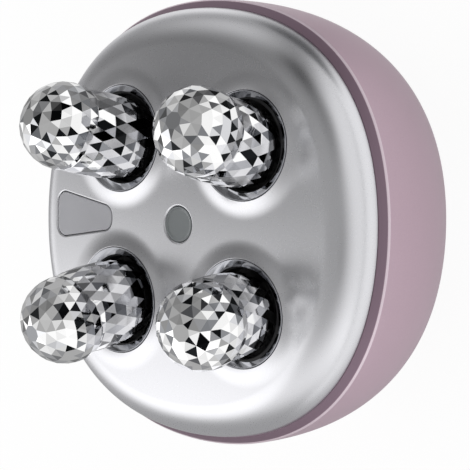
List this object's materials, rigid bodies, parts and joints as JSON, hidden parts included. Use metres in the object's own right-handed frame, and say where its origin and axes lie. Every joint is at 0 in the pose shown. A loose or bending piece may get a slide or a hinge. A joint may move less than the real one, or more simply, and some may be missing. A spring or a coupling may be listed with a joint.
{
  "type": "facial toning device",
  "caption": "Palm-held round massager: chrome face with bent faceted roller heads that turn together, a trapezoid push button, a small grey lens and a pearl-pink domed housing.",
  "frame": {"origin": "centre of the flat back the device rests on", "axes": "+Z out of the working face along the dome axis, +Y up on the face, +X away from the side that carries the push button"},
  "size_m": [0.0924, 0.0924, 0.073],
  "materials": {
    "pearl_pink_plastic": "satin pearl lacquer",
    "plated_face": "satin bright plating",
    "mirror_facets": "mirror-bright cut facets",
    "bezel_chrome": "polished plating",
    "black_rubber": "matt black",
    "satin_grey_plastic": "satin silver grey",
    "smoked_lens": "satin grey",
    "steel_shaft": "ground steel",
    "gear_plastic": "natural white",
    "bronze_bush": "sintered bronze",
    "frame_plastic": "dark grey moulding",
    "screw_steel": "zinc plated",
    "motor_steel": "plated steel",
    "black_plastic": "matt black",
    "battery_wrap": "blue grey film",
    "board_green": "solder mask",
    "led_clear": "clear"
  },
  "bodies": {
    "body": {"back_cap": "pearl_pink_plastic", "battery": "battery_wrap", "bezel_ring_ll": "bezel_chrome", "bezel_ring_lr": "bezel_chrome", "bezel_ring_ul": "bezel_chrome", "bezel_ring_ur": "bezel_chrome", "board_screws": "screw_steel", "centre_lens": "smoked_lens", "control_board": "board_green", "control_chip": "black_plastic", "face_gasket": "black_rubber", "face_plate": "plated_face", "face_screws": "screw_steel", "frame_screws": "screw_steel", "gearbox_case": "motor_steel", "housing": "pearl_pink_plastic", "housing_screws": "screw_steel", "indicator_led": "led_clear", "lower_bush_ll": "bronze_bush", "lower_bush_lr": "bronze_bush", "lower_bush_ul": "bronze_bush", "lower_bush_ur": "bronze_bush", "lower_frame": "frame_plastic", "motor_can": "motor_steel", "motor_end_cap": "black_plastic", "motor_screws": "screw_steel", "shaft_seal_ll": "black_rubber", "shaft_seal_lr": "black_rubber", "shaft_seal_ul": "black_rubber", "shaft_seal_ur": "black_rubber", "tact_switch": "black_plastic", "upper_bush_ll": "bronze_bush", "upper_bush_lr": "bronze_bush", "upper_bush_ul": "bronze_bush", "upper_bush_ur": "bronze_bush", "upper_frame": "frame_plastic"},
    "head_ul_drive": {"head_ul": "mirror_facets", "head_shaft_ul": "steel_shaft", "head_gear_ul": "gear_plastic"},
    "head_ur_drive": {"head_ur": "mirror_facets", "head_shaft_ur": "steel_shaft", "head_gear_ur": "gear_plastic"},
    "head_ll_drive": {"head_ll": "mirror_facets", "head_shaft_ll": "steel_shaft", "head_gear_ll": "gear_plastic"},
    "head_lr_drive": {"head_lr": "mirror_facets", "head_shaft_lr": "steel_shaft", "head_gear_lr": "gear_plastic"},
    "sun_drive": {"sun_gear": "gear_plastic", "output_shaft": "steel_shaft"},
    "button": {"button_cap": "satin_grey_plastic"}
  },
  "joints": [
    {"name": "head_ul_turn", "type": "hinge", "parent": "body", "child": "head_ul_drive", "pos_m": [-0.01697, 0.01697, 0.034], "axis": [0, 0, 1], "continuous": true},
    {"name": "head_ur_turn", "type": "hinge", "parent": "body", "child": "head_ur_drive", "pos_m": [0.01697, 0.01697, 0.034], "axis": [0, 0, 1], "continuous": true},
    {"name": "head_ll_turn", "type": "hinge", "parent": "body", "child": "head_ll_drive", "pos_m": [-0.01697, -0.01697, 0.034], "axis": [0, 0, 1], "continuous": true},
    {"name": "head_lr_turn", "type": "hinge", "parent": "body", "child": "head_lr_drive", "pos_m": [0.01697, -0.01697, 0.034], "axis": [0, 0, 1], "continuous": true},
    {"name": "sun_turn", "type": "hinge", "parent": "body", "child": "sun_drive", "pos_m": [0, 0, 0.034], "axis": [0, 0, 1], "continuous": true},
    {"name": "button_press", "type": "slide", "parent": "body", "child": "button", "axis": [0, 0, 1], "range_m": [-0.0005, 0], "stiffness_N_per_m": 1500, "springref_m": 0.0002}
  ],
  "couplings": [
    {"joint": "head_ur_turn", "follows": "head_ul_turn", "ratio": 1},
    {"joint": "head_ll_turn", "follows": "head_ul_turn", "ratio": 1},
    {"joint": "head_lr_turn", "follows": "head_ul_turn", "ratio": 1},
    {"joint": "sun_turn", "follows": "head_ul_turn", "ratio": -1.5}
  ]
}
